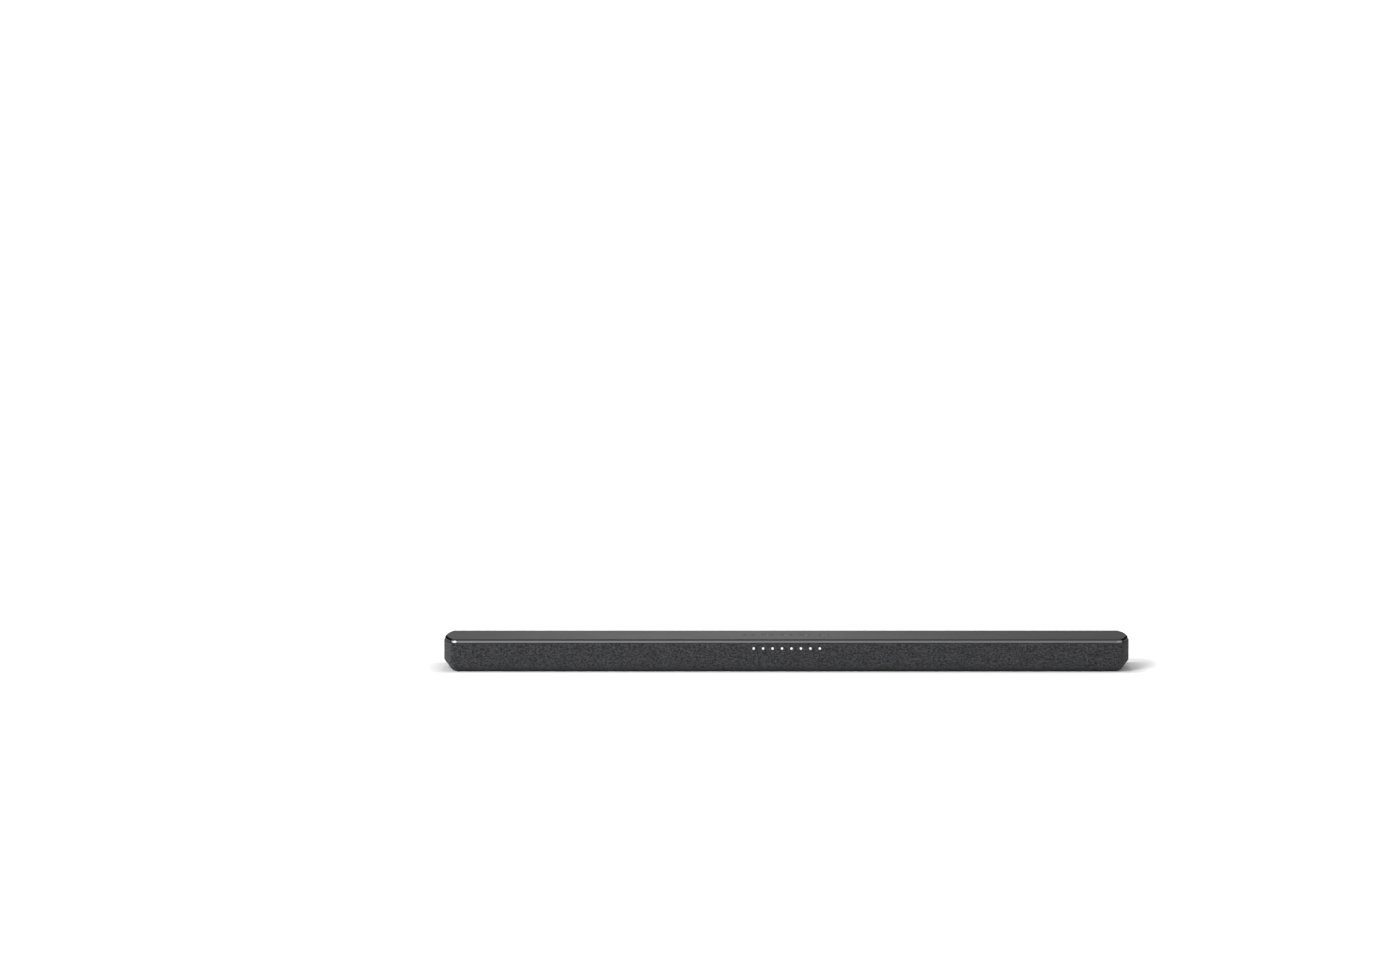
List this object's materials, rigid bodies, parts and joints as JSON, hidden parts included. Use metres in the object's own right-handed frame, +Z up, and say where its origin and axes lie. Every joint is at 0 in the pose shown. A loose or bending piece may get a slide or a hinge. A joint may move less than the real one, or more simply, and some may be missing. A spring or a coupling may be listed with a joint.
{
  "type": "soundbar",
  "caption": "Slim soundbar with knit cloth round its front and bowed ends, flush top keys, status lights and wall hangers.",
  "frame": {"origin": "middle of the bar's footprint, on the surface that the feet stand on", "axes": "+X along the bar to the listener's right, +Y from the listener to the wall, +Z up"},
  "size_m": [0.8, 0.08, 0.0385],
  "materials": {
    "housing": "fine matt texture",
    "cover": "satin",
    "frame": "matt",
    "knit": "heather knit",
    "rubber": "matt",
    "zinc_steel": "zinc plated",
    "basket": "glass-filled, matt",
    "copper": "enamelled wire",
    "paper_cone": "pressed paper",
    "surround": "soft matt",
    "spider": "resin-dipped cloth",
    "silk": "coated silk",
    "black_nylon": "matt",
    "board": "solder mask",
    "clear": "clear, polished",
    "dark_lens": "polished",
    "aluminium": "extruded",
    "socket_shell": "nickel plated",
    "ferrite": "matt",
    "capacitor_sleeve": "shrink sleeve",
    "cable": "insulation",
    "ribbon": "flat cable"
  },
  "bodies": {
    "bar": {"rear_housing": "housing", "connector_panel": "housing", "top_cover": "cover", "grille_frame": "frame", "front_baffle": "frame", "grille_cloth": "knit", "foot_front_left": "rubber", "foot_front_right": "rubber", "foot_rear_left": "rubber", "foot_rear_right": "rubber", "wall_hanger_left": "zinc_steel", "wall_hanger_right": "zinc_steel", "housing_screws": "zinc_steel", "driver_screws": "zinc_steel", "board_screws": "zinc_steel", "woofer_motor_left": "zinc_steel", "woofer_motor_right": "zinc_steel", "woofer_frame_left": "basket", "woofer_frame_right": "basket", "tweeter_body_left": "basket", "tweeter_body_right": "basket", "woofer_surround_left": "surround", "woofer_surround_right": "surround", "woofer_spider_left": "spider", "woofer_spider_right": "spider", "mains_inlet": "black_nylon", "aux_jack": "black_nylon", "optical_socket": "black_nylon", "key_board": "board", "led_board": "board", "main_board": "board", "wireless_module": "board", "power_board": "board", "light_guide": "clear", "infrared_receiver": "dark_lens", "heat_sink": "aluminium", "hdmi_socket": "socket_shell", "usb_socket": "socket_shell", "power_transformer": "ferrite", "bulk_capacitors": "capacitor_sleeve", "speaker_lead_left": "cable", "speaker_lead_right": "cable", "supply_harness": "cable", "ribbon_cables": "ribbon"},
    "pressed_minus": {"key_minus": "cover", "plunger_minus": "black_nylon"},
    "pressed_plus": {"key_plus": "cover", "plunger_plus": "black_nylon"},
    "pressed_power": {"key_power": "cover", "plunger_power": "black_nylon"},
    "pressed_source": {"key_source": "cover", "plunger_source": "black_nylon"},
    "pressed_play": {"key_play": "cover", "plunger_play": "black_nylon"},
    "woofer_left_piston": {"woofer_cone_left": "paper_cone", "woofer_coil_left": "copper"},
    "tweeter_left_piston": {"tweeter_dome_left": "silk"},
    "woofer_right_piston": {"woofer_cone_right": "paper_cone", "woofer_coil_right": "copper"},
    "tweeter_right_piston": {"tweeter_dome_right": "silk"}
  },
  "joints": [
    {"name": "press_minus", "type": "slide", "parent": "bar", "child": "pressed_minus", "axis": [0, 0, -1], "range_m": [0, 0.0005], "stiffness_N_per_m": 1500},
    {"name": "press_plus", "type": "slide", "parent": "bar", "child": "pressed_plus", "axis": [0, 0, -1], "range_m": [0, 0.0005], "stiffness_N_per_m": 1500},
    {"name": "press_power", "type": "slide", "parent": "bar", "child": "pressed_power", "axis": [0, 0, -1], "range_m": [0, 0.0005], "stiffness_N_per_m": 1500},
    {"name": "press_source", "type": "slide", "parent": "bar", "child": "pressed_source", "axis": [0, 0, -1], "range_m": [0, 0.0005], "stiffness_N_per_m": 1500},
    {"name": "press_play", "type": "slide", "parent": "bar", "child": "pressed_play", "axis": [0, 0, -1], "range_m": [0, 0.0005], "stiffness_N_per_m": 1500},
    {"name": "woofer_left_travel", "type": "slide", "parent": "bar", "child": "woofer_left_piston", "axis": [0, -1, 0], "range_m": [-0.0015, 0.0015], "stiffness_N_per_m": 1500, "deforming": ["woofer_surround_left", "woofer_spider_left"]},
    {"name": "tweeter_left_travel", "type": "slide", "parent": "bar", "child": "tweeter_left_piston", "axis": [0, -1, 0], "range_m": [-0.0003, 0.0003], "stiffness_N_per_m": 3000},
    {"name": "woofer_right_travel", "type": "slide", "parent": "bar", "child": "woofer_right_piston", "axis": [0, -1, 0], "range_m": [-0.0015, 0.0015], "stiffness_N_per_m": 1500, "deforming": ["woofer_surround_right", "woofer_spider_right"]},
    {"name": "tweeter_right_travel", "type": "slide", "parent": "bar", "child": "tweeter_right_piston", "axis": [0, -1, 0], "range_m": [-0.0003, 0.0003], "stiffness_N_per_m": 3000}
  ]
}
